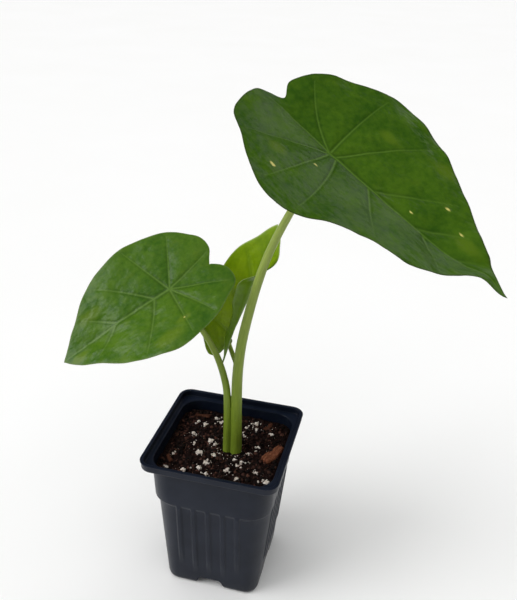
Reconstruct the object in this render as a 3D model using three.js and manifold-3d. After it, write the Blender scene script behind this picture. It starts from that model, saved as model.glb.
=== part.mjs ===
// A young alocasia in a square nursery pot. Millimetres, +Z up, one ribbed face towards -Y.
// Sizes and places are given from the middle of the pot's base. The last lines move the whole
// object so that the origin is the middle of its own footprint.
import * as THREE from "three";
import { mergeVertices } from "three/addons/utils/BufferGeometryUtils.js";
import Module from "manifold-3d";

const wasm = await Module();
wasm.setup();

// ---------------------------------------------------------------- driving sizes

const clearance = 0.3; // space left between pieces that touch

const pot = {
  height: 120,
  wall: 1.2,
  rimWidth: 102,
  rimRadius: 8.8,
  lipHeight: 6.2, // from under the flange to the top of the rim
  lipThickness: 1.4,
  flangeWidth: 5.2, // from the band's wall to the rim's outside
  flangeThickness: 1.4,
  beadHeight: 1.2,
  beadDepth: 0.8,
  bandRadius: 16,
  bandDraft: 1.4, // how much narrower the band is at the ledge, each side
  ledgeRise: 3.5,
  ledgeStep: 1,
  bodyHeight: 81,
  bodyRadius: 20,
  bodyDraft: 7.5,
  baseRadius: 9.5,
  footGap: 21,
  footHeight: 8.5,
};

const rib = {
  perFace: 5,
  pitch: 11,
  width: 4.4,
  height: 1,
  lowest: 21.4, // bottom of the middle rib
  rise: 1.8, // the outer ribs end higher, by this times the square of their place
};

const drain = { middleRadius: 5, armRadius: 3.6, armReach: 20 };

const mix = { headSpace: 13 }; // from the rim down to the potting mix

const corm = {
  x: 6.5,
  y: 1,
  radius: 12,
  length: 26,
  depth: 6, // from the top of the mix to the top of the corm
  // From its foot up: share of the length, share of the radius.
  profile: [[0.12, 0.62], [0.35, 0.95], [0.6, 1], [0.85, 0.86], [1, 0.7]],
  roots: 9,
  rootRadius: 1.5,
  rootReach: 30,
  rootDrop: 62,
  // Along a root: share of its reach, share of its drop.
  rootBend: [[0.15, 0], [0.55, 0.12], [0.85, 0.4], [0.9, 0.7], [0.8, 1]],
};

const bladeThickness = 0.8;
const creaseWidth = 3; // each side of a midrib, where the fold rounds over

// Each petiole: the points of its middle line, and its radii at the foot and under the blade.
const petioles = {
  petiole_large: {
    footRadius: 4.6,
    topRadius: 2.4,
    route: [[8.2, -0.4], [8, -0.7, 147], [8.4, -1.2, 177], [10.3, -1.2, 199], [13.8, -0.9, 220],
      [19.7, -0.2, 247], [27, 0.8, 272], [37.4, 2.4, 297], [50, 4.6, 322]],
  },
  petiole_left: {
    footRadius: 2.4,
    topRadius: 1.6,
    route: [[0.8, -1.4], [0.9, -2.4, 150], [0.2, -3.4, 167], [-5.2, -6, 188], [-13, -8.8, 207],
      [-24, -12, 225]],
  },
  petiole_young: {
    footRadius: 1.8,
    topRadius: 1.4,
    route: [[8, 6.6], [7.6, 6.4, 150], [6.4, 8, 172]],
  },
};

// Each blade: where its petiole joins, how it faces, its length from there to the tip, how it
// bends, and its outline as shares of that length at angles from the tip, right then left.
const outlineAngles = [0, 3, 8, 18, 35, 55, 75, 95, 115, 135, 150, 163, 172, 180];
const blades = {
  blade_large: {
    petiole: "petiole_large",
    joint: [59.5, 6.4, 337.5],
    heading: -0.447,
    dip: 0.5,
    roll: -0.125,
    length: 136,
    droop: -0.17,
    lobeDroop: -0.26,
    fold: 0.3,
    cup: [-0.29, -0.29],
    right: [1, 0.93, 0.82, 0.74, 0.58, 0.565, 0.61, 0.535, 0.465, 0.475, 0.47, 0.46, 0.44, 0.4],
    left: [1, 0.95, 0.84, 0.73, 0.62, 0.564, 0.543, 0.53, 0.493, 0.488, 0.47, 0.446, 0.4, 0.4],
  },
  blade_left: {
    petiole: "petiole_left",
    joint: [-35.7, -15.6, 242],
    heading: 3.763,
    dip: 0.474,
    roll: 0.479,
    length: 85,
    droop: 0.2,
    lobeDroop: 0,
    fold: 0.234,
    cup: [-0.175, -0.175],
    right: [1, 0.95, 0.88, 0.78, 0.69, 0.6, 0.55, 0.505, 0.5, 0.49, 0.495, 0.46, 0.4, 0.38],
    left: [1, 0.96, 0.89, 0.77, 0.67, 0.59, 0.56, 0.51, 0.5, 0.505, 0.535, 0.5, 0.45, 0.38],
  },
  blade_young: {
    petiole: "petiole_young",
    joint: [-2.2, 13, 190],
    heading: 0.364,
    dip: -1.236,
    roll: -0.65,
    length: 98,
    droop: 0,
    lobeDroop: 0,
    fold: 0.3,
    cup: [11, 0.6],
    right: [1, 0.97, 0.9, 0.7, 0.48, 0.34, 0.28, 0.25, 0.21, 0.18, 0.16, 0.14, 0.1, 0.06],
    left: [1, 0.95, 0.85, 0.68, 0.46, 0.31, 0.25, 0.21, 0.18, 0.17, 0.17, 0.15, 0.11, 0.06],
  },
};

// Pieces lying on the mix: [x share, y share, longest half size]. A share of 1 lies at the wall.
const barkChips = [[0.98, 0.02, 10.5], [-0.75, 0.8, 5.5], [-0.9, -0.6, 5], [0.62, 0.88, 5]];
const barkShape = {
  width: 0.3, // width, depth and bevel as shares of the half size
  depth: 0.2,
  bevel: 0.06,
  firstTurn: 1.15,
  nextTurn: 2.1,
  corners: [[-1, -0.5], [-0.5, -1], [0.7, -0.9], [1, -0.1], [0.8, 0.8], [-0.2, 1], [-0.9, 0.6]],
};
const grainFlatness = 0.8;
const perlite = [
  [-0.42, 0.84, 2.4], [-0.27, 0.7, 2.2], [-0.54, 0.55, 2.2], [-0.68, 0.25, 1.7], [-0.31, 0.12, 2.4],
  [-0.19, 0.02, 1.9], [-0.57, -0.03, 1.4], [-0.41, -0.29, 3.1], [-0.15, -0.12, 1.7],
  [-0.16, -0.26, 2.5], [-0.8, -0.42, 1.2], [-0.2, -0.52, 2.2], [-0.28, -0.65, 2.1],
  [-0.82, -0.8, 1.6], [-0.52, -0.82, 2.4], [-0.11, -0.77, 1.8], [0.21, -0.58, 2.3],
  [0.42, -0.76, 1.6], [0.6, -0.9, 1.7], [0.48, -0.05, 2], [0.26, -0.3, 1.9], [0.38, -0.32, 1.7],
  [0.36, -0.44, 2], [0.56, 0.18, 1.6], [0.24, 0.42, 1.4], [0.22, 0.7, 1.6], [0.38, 0.84, 2.3],
  [0.41, 0.68, 1.7], [0.72, 0.6, 2.3], [0.7, -0.5, 1.8], [0.94, -0.7, 2.3], [-0.7, 0.6, 1.6],
];

// ---------------------------------------------------------------- small tools

// A geometry as a manifold solid.
function solidOf(geometry) {
  geometry.deleteAttribute("normal");
  geometry.deleteAttribute("uv");
  const welded = mergeVertices(geometry, 1e-4);
  return new wasm.Manifold(new wasm.Mesh({
    numProp: 3,
    vertProperties: Float32Array.from(welded.attributes.position.array),
    triVerts: Uint32Array.from(welded.index.array),
  }));
}

// A manifold solid as a geometry with flat faces.
function geometryOf(solid) {
  const mesh = solid.getMesh();
  const geometry = new THREE.BufferGeometry();
  geometry.setAttribute("position", new THREE.BufferAttribute(mesh.vertProperties, 3));
  geometry.setIndex(new THREE.BufferAttribute(mesh.triVerts, 1));
  const faceted = geometry.toNonIndexed();
  faceted.computeVertexNormals();
  return faceted;
}

// A box between two corners.
function box(low, high) {
  const size = high.map((value, axis) => value - low[axis]);
  const geometry = new THREE.BoxGeometry(...size);
  geometry.translate(...low.map((value, axis) => value + size[axis] / 2));
  return solidOf(geometry);
}

// A smooth value between knots, by cubic pieces whose slopes come from the knots beside them.
function smoothBetween(knots, values, at) {
  let index = 0;
  while (index < knots.length - 2 && at > knots[index + 1]) {
    index += 1;
  }
  const slope = (knot) => {
    const before = Math.max(knot - 1, 0);
    const after = Math.min(knot + 1, knots.length - 1);
    return (values[after] - values[before]) / (knots[after] - knots[before]);
  };
  const span = knots[index + 1] - knots[index];
  const t = (at - knots[index]) / span;
  const rise = values[index + 1] - values[index];
  const bendIn = slope(index) * span - rise;
  const bendOut = rise - slope(index + 1) * span;
  return values[index] + rise * t + t * (1 - t) * (bendIn * (1 - t) + bendOut * t);
}

// The same rough pebble shape each time for the same seed.
function wobble(direction, seed) {
  const waves = Math.sin(direction.x * 3.1 + seed) * Math.cos(direction.y * 2.7 - seed * 1.7);
  return 1 + 0.16 * waves + 0.1 * Math.sin(direction.z * 4.3 + seed * 2.3);
}

// ---------------------------------------------------------------- pot

// One level of the pot: a rounded square, anticlockwise from above.
function squareRing(half, radius, z) {
  const cornerSteps = 5;
  const ring = [];
  for (let corner = 0; corner < 4; corner += 1) {
    for (let step = 0; step <= cornerSteps; step += 1) {
      const angle = (corner + step / cornerSteps) * Math.PI / 2;
      const middle = (corner + 0.5) * Math.PI / 2;
      ring.push(new THREE.Vector3(
        Math.sign(Math.cos(middle)) * (half - radius) + radius * Math.cos(angle),
        Math.sign(Math.sin(middle)) * (half - radius) + radius * Math.sin(angle),
        z,
      ));
    }
  }
  return ring;
}

// A closed skin through rings given from the bottom up, each [half width, corner radius, z].
function loft(levels) {
  const rings = levels.map((level) => squareRing(...level));
  const around = rings[0].length;
  const lowest = new THREE.Vector3(0, 0, levels[0][2]);
  const highest = new THREE.Vector3(0, 0, levels[levels.length - 1][2]);
  const faces = [];
  for (let side = 0; side < around; side += 1) {
    const next = (side + 1) % around;
    faces.push(lowest, rings[0][next], rings[0][side]);
    for (let level = 0; level < rings.length - 1; level += 1) {
      const [below, above] = [rings[level], rings[level + 1]];
      faces.push(below[side], below[next], above[next], below[side], above[next], above[side]);
    }
    const top = rings[rings.length - 1];
    faces.push(highest, top[side], top[next]);
  }
  return solidOf(new THREE.BufferGeometry().setFromPoints(faces));
}

const rimHalf = pot.rimWidth / 2;
const bandHalf = rimHalf - pot.flangeWidth;
const ledgeHalf = bandHalf - pot.bandDraft;
const bodyHalf = ledgeHalf - pot.ledgeStep;
const baseHalf = bodyHalf - pot.bodyDraft;
const ledgeTop = pot.bodyHeight + pot.ledgeRise;
const flangeUnder = pot.height - pot.lipHeight;
const flangeTop = flangeUnder + pot.flangeThickness;
const mixTop = pot.height - mix.headSpace;
const mixHalf = ledgeHalf - pot.wall - clearance
  + pot.bandDraft * (mixTop - ledgeTop) / (pot.height - ledgeTop);

// The raised ribs, each a long capsule half sunk in the sloping wall, thinner by inset.
function ribs(inset) {
  const radius = (rib.width ** 2 / 4 + rib.height ** 2) / (2 * rib.height);
  const lean = Math.atan2(pot.bodyDraft, pot.bodyHeight);
  const middlePlace = (rib.perFace - 1) / 2;
  const top = pot.bodyHeight + pot.ledgeRise / 2;
  const solids = [];
  for (let face = 0; face < 4; face += 1) {
    for (let place = 0; place < rib.perFace; place += 1) {
      const fromMiddle = place - middlePlace;
      const bottom = rib.lowest + rib.rise * fromMiddle ** 2 + rib.width / 2;
      const bar = new THREE.CapsuleGeometry(radius - inset, top - bottom, 4, 12);
      bar.rotateX(Math.PI / 2);
      bar.translate(0, 0, (top + bottom) / 2 - pot.bodyHeight);
      bar.rotateX(lean);
      bar.translate(fromMiddle * rib.pitch, radius - rib.height - bodyHalf, pot.bodyHeight);
      bar.rotateZ(face * Math.PI / 2);
      solids.push(solidOf(bar));
    }
  }
  return wasm.Manifold.union(solids);
}

// The crossed gap under the base that leaves four feet, bigger by grow.
function footGaps(grow) {
  const half = pot.footGap / 2 + grow;
  const top = pot.footHeight + grow;
  return box([-rimHalf, -half, -top], [rimHalf, half, top])
    .add(box([-half, -rimHalf, -top], [half, rimHalf, top]));
}

// The pot's form without its rim, shrunk inwards by inset, from its feet up to a level.
function potForm(inset, top) {
  const bodyTop = pot.bodyHeight + inset / 2;
  const level = (half, radius, z) => [half - inset, radius - inset, z];
  const body = loft([
    level(baseHalf, pot.baseRadius, inset),
    level(bodyHalf, pot.bodyRadius, bodyTop),
  ]).add(ribs(inset)).subtract(footGaps(inset));
  const band = loft([
    level(bodyHalf, pot.bodyRadius, bodyTop),
    level(ledgeHalf, pot.bandRadius, ledgeTop + inset / 2),
    level(bandHalf, pot.bandRadius, top),
  ]);
  return body.add(band);
}

// The block of the rim: its underside is the flange, its sides the beaded lip that stands on it.
function rim() {
  const bead = pot.height - pot.beadHeight;
  const lipHalf = rimHalf - pot.beadDepth;
  return loft([
    [lipHalf, pot.rimRadius, flangeUnder],
    [lipHalf, pot.rimRadius, bead],
    [rimHalf, pot.rimRadius + pot.beadDepth, bead + pot.beadDepth / 2],
    [rimHalf, pot.rimRadius + pot.beadDepth, pot.height],
  ]);
}

function drainHoles() {
  const hole = (radius, x, y) => {
    const cylinder = new THREE.CylinderGeometry(radius, radius, pot.footHeight, 20);
    cylinder.rotateX(Math.PI / 2);
    cylinder.translate(x, y, pot.footHeight);
    return solidOf(cylinder);
  };
  const holes = [hole(drain.middleRadius, 0, 0)];
  for (let arm = 0; arm < 4; arm += 1) {
    const angle = arm * Math.PI / 2;
    holes.push(hole(drain.armRadius, drain.armReach * Math.cos(angle), drain.armReach * Math.sin(angle)));
  }
  return wasm.Manifold.union(holes);
}

function nurseryPot() {
  const beyond = pot.height + pot.wall;
  const lipInside = rimHalf - pot.beadDepth - pot.lipThickness;
  const recess = loft([
    [lipInside, pot.rimRadius - pot.lipThickness, flangeTop],
    [lipInside, pot.rimRadius - pot.lipThickness, beyond],
  ]);
  return rim()
    .add(potForm(0, flangeTop))
    .subtract(potForm(pot.wall, flangeTop + pot.wall))
    .subtract(recess)
    .subtract(drainHoles());
}

// ---------------------------------------------------------------- plant

// A round tube along a route, tapering from its foot to its top, thicker by grow.
function taperedTube(route, footRadius, topRadius, steps, sides, grow = 0) {
  const curve = new THREE.CatmullRomCurve3(route);
  const disc = new THREE.Shape();
  disc.absarc(0, 0, 1, 0, 2 * Math.PI);
  const tube = new THREE.ExtrudeGeometry(disc, {
    depth: 1,
    steps,
    curveSegments: sides / 2,
    bevelEnabled: false,
  });
  const frames = curve.computeFrenetFrames(steps);
  const place = tube.attributes.position;
  for (let index = 0; index < place.count; index += 1) {
    const share = place.getZ(index);
    const ring = Math.round(share * steps);
    const radius = footRadius + (topRadius - footRadius) * share + grow;
    const point = curve.getPointAt(share)
      .addScaledVector(frames.normals[ring], radius * place.getX(index))
      .addScaledVector(frames.binormals[ring], radius * place.getY(index));
    place.setXYZ(index, point.x, point.y, point.z);
  }
  return tube;
}

// A blade's own directions at its joint: towards the tip, to its right, and out of its face.
function bladeAxes(blade) {
  const level = Math.cos(blade.dip);
  const tip = new THREE.Vector3(
    Math.cos(blade.heading) * level,
    Math.sin(blade.heading) * level,
    -Math.sin(blade.dip),
  );
  const right = new THREE.Vector3(Math.sin(blade.heading), -Math.cos(blade.heading), 0);
  right.applyAxisAngle(tip, -blade.roll);
  const face = new THREE.Vector3().crossVectors(right, tip);
  return { tip, right, face };
}

// Where a length ends that starts at one angle and bends steadily by another: [along, up].
function bentLength(length, start, bend) {
  const half = bend / 2;
  const chord = Math.abs(half) < 1e-6 ? length : length * Math.sin(half) / half;
  return [chord * Math.cos(start + half), chord * Math.sin(start + half)];
}

// A point of the blade's middle layer, raised off it by lift.
function bladePoint(blade, axes, angle, share, lift) {
  const degrees = Math.abs(angle) * 180 / Math.PI;
  const onRight = angle > 0;
  const outline = smoothBetween(outlineAngles, onRight ? blade.right : blade.left, degrees);
  const reach = outline * blade.length * share;
  const along = reach * Math.cos(angle);
  const across = Math.abs(reach * Math.sin(angle));
  const turn = -(along / blade.length) * (along > 0 ? blade.droop : blade.lobeDroop);
  const [ribAlong, ribUp] = bentLength(along, 0, turn);
  const curl = blade.cup[onRight ? 0 : 1] * across / blade.length;
  const [outward, upward] = bentLength(across, blade.fold, curl);
  const lean = (blade.fold + curl) * Math.min(across / creaseWidth, 1);
  const side = (outward - lift * Math.sin(lean)) * (onRight ? 1 : -1);
  const up = upward + lift * Math.cos(lean);
  return new THREE.Vector3(...blade.joint)
    .addScaledVector(axes.tip, ribAlong - up * Math.sin(turn))
    .addScaledVector(axes.right, side)
    .addScaledVector(axes.face, ribUp + up * Math.cos(turn));
}

// A blade: a sphere flattened so that its poles are the joint and its equator the margin.
function bladeGeometry(blade) {
  const around = 48;
  const rings = 12;
  const axes = bladeAxes(blade);
  const sphere = new THREE.SphereGeometry(1, around, rings);
  const place = sphere.attributes.position;
  for (let index = 0; index < place.count; index += 1) {
    const fromPole = Math.acos(THREE.MathUtils.clamp(place.getY(index), -1, 1)) * 2 / Math.PI;
    const share = Math.min(fromPole, 2 - fromPole);
    const angle = Math.atan2(place.getZ(index), place.getX(index));
    const lift = Math.sign(Math.round((1 - fromPole) * rings)) * bladeThickness / 2;
    const point = bladePoint(blade, axes, share < 1e-6 ? 0 : angle, share, lift);
    place.setXYZ(index, point.x, point.y, point.z);
  }
  return sphere;
}

// A petiole's middle line: from inside the mix, along its own points, to just under its blade.
function petioleRoute(name) {
  const blade = blades[Object.keys(blades).find((key) => blades[key].petiole === name)];
  const { face } = bladeAxes(blade);
  const joint = new THREE.Vector3(...blade.joint);
  const under = bladeThickness / 2 + clearance;
  const [[footX, footY], ...others] = petioles[name].route;
  return [
    new THREE.Vector3(footX, footY, mixTop - corm.depth),
    new THREE.Vector3(footX, footY, mixTop + corm.depth),
    ...others.map((point) => new THREE.Vector3(...point)),
    joint.clone().addScaledVector(face, -under - 3 * petioles[name].topRadius),
    joint.clone().addScaledVector(face, -under),
  ];
}

function petioleGeometry(name, grow = 0) {
  const { footRadius, topRadius } = petioles[name];
  return taperedTube(petioleRoute(name), footRadius, topRadius, 32, 14, grow);
}

// The swollen stem under the mix with its roots, fatter by grow.
function cormWithRoots(grow) {
  const top = mixTop - corm.depth - clearance + 2 * grow;
  const bottom = mixTop - corm.depth - corm.length - grow;
  const radius = corm.radius + grow;
  const profile = [[0, bottom]];
  for (const [share, width] of corm.profile) {
    profile.push([radius * width, bottom + (top - bottom) * share]);
  }
  profile.push([0, top]);
  const lathe = new THREE.LatheGeometry(profile.map(([x, y]) => new THREE.Vector2(x, y)), 24);
  lathe.rotateX(Math.PI / 2);
  lathe.translate(corm.x, corm.y, 0);
  const solids = [solidOf(lathe)];
  const heart = mixTop - corm.depth - corm.length / 2;
  for (let root = 0; root < corm.roots; root += 1) {
    const angle = root * 2 * Math.PI / corm.roots + 0.4 * Math.sin(root * 5);
    const reach = corm.rootReach * (0.8 + 0.2 * Math.sin(root * 3));
    const drop = corm.rootDrop * (0.85 + 0.15 * Math.cos(root * 7));
    const route = corm.rootBend.map(([share, fall]) => new THREE.Vector3(
      corm.x * (1 - share) + Math.cos(angle) * reach * share,
      corm.y * (1 - share) + Math.sin(angle) * reach * share,
      heart - fall * (drop + grow),
    ));
    const tube = taperedTube(route, corm.rootRadius, corm.rootRadius / 2, 10, 6, grow);
    solids.push(solidOf(tube));
  }
  return wasm.Manifold.union(solids);
}

// The potting mix fills the pot up to its head space, around the corm and the petioles.
function pottingMix() {
  const inset = pot.wall + clearance;
  const beyond = pot.height + pot.wall;
  const filling = potForm(inset, beyond)
    .intersect(box([-rimHalf, -rimHalf, 0], [rimHalf, rimHalf, mixTop]));
  const holes = Object.keys(petioles).map((name) => solidOf(petioleGeometry(name, clearance)));
  return filling.subtract(cormWithRoots(clearance)).subtract(wasm.Manifold.union(holes));
}

// ---------------------------------------------------------------- loose pieces on the mix

// Lays a piece on the mix, just clear of it, at shares of the room that it has to each wall.
function lay(geometry, xShare, yShare) {
  geometry.center();
  geometry.computeBoundingBox();
  const { max } = geometry.boundingBox;
  geometry.translate(
    xShare * (mixHalf - max.x),
    yShare * (mixHalf - max.y),
    mixTop + clearance + max.z,
  );
  return geometry;
}

// A perlite grain: a lumpy pebble.
function grainGeometry([xShare, yShare, size], index) {
  const grain = new THREE.IcosahedronGeometry(size, 1);
  const place = grain.attributes.position;
  const point = new THREE.Vector3();
  for (let vertex = 0; vertex < place.count; vertex += 1) {
    point.fromBufferAttribute(place, vertex);
    point.multiplyScalar(wobble(point.clone().normalize(), index));
    place.setXYZ(vertex, point.x, point.y, point.z * grainFlatness);
  }
  grain.rotateZ(index);
  return lay(grain, xShare, yShare);
}

// A flat splinter of bark, blunt at its ends, turned a different way for each index.
function barkGeometry([xShare, yShare, size], index) {
  const corners = barkShape.corners.map(([along, across]) => (
    new THREE.Vector2(along * size, across * size * barkShape.width)
  ));
  const bevel = size * barkShape.bevel;
  const chip = new THREE.ExtrudeGeometry(new THREE.Shape(corners), {
    depth: size * barkShape.depth,
    bevelThickness: bevel,
    bevelSize: bevel,
    bevelSegments: 1,
  });
  chip.rotateZ(barkShape.firstTurn + index * barkShape.nextTurn);
  return lay(chip, xShare, yShare);
}

// ---------------------------------------------------------------- assembly

const finishes = {
  pot: { color: 0x2d3036, roughness: 0.42, metalness: 0 },
  mix: { color: 0x1f130e, roughness: 1, metalness: 0 },
  corm: { color: 0x7a5a38, roughness: 0.8, metalness: 0 },
  petiole: { color: 0x6c8a2e, roughness: 0.4, metalness: 0 },
  blade: { color: 0x34591a, roughness: 0.35, metalness: 0 },
  youngBlade: { color: 0x6f8f1c, roughness: 0.4, metalness: 0 },
  perlite: { color: 0xd8ccc0, roughness: 0.95, metalness: 0 },
  bark: { color: 0x7e4630, roughness: 0.9, metalness: 0 },
};

const group = new THREE.Group();

function addPiece(name, geometry, finish) {
  const piece = new THREE.Mesh(geometry, new THREE.MeshStandardMaterial(finishes[finish]));
  piece.name = name;
  group.add(piece);
}

addPiece("nursery_pot", geometryOf(nurseryPot()), "pot");
addPiece("potting_mix", geometryOf(pottingMix()), "mix");
addPiece("corm_with_roots", geometryOf(cormWithRoots(0)), "corm");
for (const name of Object.keys(petioles)) {
  addPiece(name, petioleGeometry(name), "petiole");
}
for (const [name, blade] of Object.entries(blades)) {
  addPiece(name, bladeGeometry(blade), name === "blade_young" ? "youngBlade" : "blade");
}
barkChips.forEach((chip, index) => {
  addPiece(`bark_chip_${index + 1}`, barkGeometry(chip, index), "bark");
});
perlite.forEach((grain, index) => {
  addPiece(`perlite_${index + 1}`, grainGeometry(grain, index), "perlite");
});

// The origin goes to the middle of the whole object's footprint.
const bounds = new THREE.Box3().setFromObject(group);
const middle = bounds.getCenter(new THREE.Vector3());
group.position.set(-middle.x, -middle.y, 0);

export default group;
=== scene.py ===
# A young alocasia with three leaves, growing in a square ribbed nursery pot.
# Shapes are worked out in millimetres from the middle of the pot's base, then put in the frame.
import math

import bpy
import numpy as np
from mathutils import Matrix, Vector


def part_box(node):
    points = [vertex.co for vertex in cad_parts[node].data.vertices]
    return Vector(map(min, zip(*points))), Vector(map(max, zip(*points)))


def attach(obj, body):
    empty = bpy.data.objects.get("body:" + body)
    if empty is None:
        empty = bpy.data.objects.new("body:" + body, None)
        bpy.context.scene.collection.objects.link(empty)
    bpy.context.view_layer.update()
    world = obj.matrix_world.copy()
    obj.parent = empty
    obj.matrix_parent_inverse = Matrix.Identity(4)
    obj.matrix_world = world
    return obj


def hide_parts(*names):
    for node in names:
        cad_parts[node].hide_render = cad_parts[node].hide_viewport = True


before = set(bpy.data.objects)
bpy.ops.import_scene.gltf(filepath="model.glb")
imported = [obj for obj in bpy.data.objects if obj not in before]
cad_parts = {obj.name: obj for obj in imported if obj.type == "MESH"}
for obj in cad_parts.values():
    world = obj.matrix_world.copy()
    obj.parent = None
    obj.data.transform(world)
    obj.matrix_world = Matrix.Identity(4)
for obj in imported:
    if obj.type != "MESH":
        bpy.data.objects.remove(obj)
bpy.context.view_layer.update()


def nodeBox(node):
    # A CAD node's lowest and highest corner, in millimetres of the frame.
    low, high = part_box(node)
    return np.array(low) * 1000, np.array(high) * 1000


potLow, potHigh = nodeBox("nursery_pot")
potBase = np.array([(potLow[0] + potHigh[0]) / 2, (potLow[1] + potHigh[1]) / 2, potLow[2]])
potHeight = potHigh[2] - potLow[2]
rimHalf = (potHigh[0] - potLow[0]) / 2
mixTop = nodeBox("potting_mix")[1][2] - potBase[2]
seed = 41
random = np.random.default_rng(seed)


# Numbers and meshes

def noise(points, size, turn=0):
    # Random values from -1 to 1 at whole steps of size, blended between by eased cubes.
    place = points / size + 31.7 * turn + 1000
    cell = np.floor(place).astype(np.int64)
    eased = (place - cell) ** 2 * (3 - 2 * (place - cell))
    total = np.zeros(points.shape[:-1])
    for corner in np.ndindex(2, 2, 2):
        key = (cell + corner) @ np.array([73856093, 19349663, 83492791])
        value = ((key ^ (key >> 13)) * 1274126177 % 100003) / 50001.0 - 1
        total += value * np.prod(np.where(np.array(corner) == 1, eased, 1 - eased), axis=-1)
    return total


def easeIn(values):
    # 0 below 0, 1 above 1, an S between.
    held = np.clip(values, 0, 1)
    return held * held * (3 - 2 * held)


def through(knots, values, at):
    # A smooth curve through knots: cubic pieces with the slope of the two knots beside each.
    knots, values, at = (np.asarray(part, float) for part in (knots, values, at))
    index = np.clip(np.searchsorted(knots, at) - 1, 0, len(knots) - 2)
    before = np.maximum(np.arange(len(knots)) - 1, 0)
    after = np.minimum(np.arange(len(knots)) + 1, len(knots) - 1)
    slope = (values[after] - values[before]) / (knots[after] - knots[before])
    span = knots[index + 1] - knots[index]
    t = (at - knots[index]) / span
    rise = values[index + 1] - values[index]
    bendIn = slope[index] * span - rise
    bendOut = rise - slope[index + 1] * span
    return values[index] + rise * t + t * (1 - t) * (bendIn * (1 - t) + bendOut * t)


def unit(vectors):
    return vectors / np.linalg.norm(vectors, axis=-1, keepdims=True)


def skinFaces(rows, columns):
    # Faces of a grid that closes round its columns, with a fan to a pole before and after it.
    spot = np.arange(rows * columns).reshape(rows, columns)
    beside = np.roll(spot, -1, axis=1)
    quads = np.stack([spot[:-1], beside[:-1], beside[1:], spot[1:]], axis=-1).reshape(-1, 4)
    first, last = rows * columns, rows * columns + 1
    fans = np.concatenate([
        np.stack([np.full(columns, first), beside[0], spot[0]], axis=-1),
        np.stack([np.full(columns, last), spot[-1], beside[-1]], axis=-1),
    ])
    return [quads, fans]


def skin(grid):
    # A closed skin from rows of points; its first and last rows shrink to poles at their middles.
    poles = np.stack([grid[0].mean(axis=0), grid[-1].mean(axis=0)])
    points = np.concatenate([grid.reshape(-1, 3), poles])
    return points, skinFaces(*grid.shape[:2])


def skinValues(grid):
    # The values of a skin's points, in the order that skin gives them.
    return np.concatenate([grid.ravel(), [grid[0].mean(), grid[-1].mean()]])


def turnedOut(points, faces):
    # The same faces, all turned round if they enclose a negative volume.
    volume = 0
    for group in faces:
        for corner in range(1, group.shape[1] - 1):
            a, b, c = (points[group[:, place]] for place in (0, corner, corner + 1))
            volume += np.einsum("ij,ij->", a, np.cross(b, c))
    return faces if volume > 0 else [group[:, ::-1] for group in faces]


def addMesh(name, points, faces, values=None):
    # A smooth-shaded mesh object; values are its point attributes, by name.
    faces = turnedOut(points, faces)
    mesh = bpy.data.meshes.new(name)
    mesh.vertices.add(len(points))
    mesh.vertices.foreach_set("co", ((points + potBase) / 1000).astype(np.float32).ravel())
    corners = np.concatenate([group.ravel() for group in faces])
    sizes = np.concatenate([np.full(len(group), group.shape[1]) for group in faces])
    mesh.loops.add(len(corners))
    mesh.loops.foreach_set("vertex_index", corners.astype(np.int32))
    mesh.polygons.add(len(sizes))
    mesh.polygons.foreach_set("loop_start", (np.cumsum(sizes) - sizes).astype(np.int32))
    mesh.polygons.foreach_set("use_smooth", np.ones(len(sizes), bool))
    mesh.update(calc_edges=True)
    for key, numbers in (values or {}).items():
        kind = "FLOAT_VECTOR" if numbers.ndim == 2 else "FLOAT"
        layer = mesh.attributes.new(key, kind, "POINT")
        layer.data.foreach_set("vector" if numbers.ndim == 2 else "value",
                               numbers.astype(np.float32).ravel())
    piece = bpy.data.objects.new(name, mesh)
    bpy.context.scene.collection.objects.link(piece)
    return piece


def settle(piece, finish, slot, *nodes):
    # Gives a piece its material and its place on the one body, and hides the CAD nodes that it stands for.
    piece.data.materials.clear()
    piece.data.materials.append(finish)
    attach(piece, "root")
    if nodes:
        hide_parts(*nodes)
    return piece


# Materials

class Wire:
    # One output of a material's nodes, so that sums and products read as formulas.
    def __init__(self, finish, socket):
        self.finish = finish
        self.socket = socket

    def maths(self, operation, first, second):
        return self.finish.node("Math", {"operation": operation}, {0: first, 1: second})

    def __add__(self, other):
        return self.maths("ADD", self, other)

    def __radd__(self, other):
        return self.maths("ADD", other, self)

    def __sub__(self, other):
        return self.maths("SUBTRACT", self, other)

    def __rsub__(self, other):
        return self.maths("SUBTRACT", other, self)

    def __mul__(self, other):
        return self.maths("MULTIPLY", self, other)

    def __rmul__(self, other):
        return self.maths("MULTIPLY", other, self)


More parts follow.
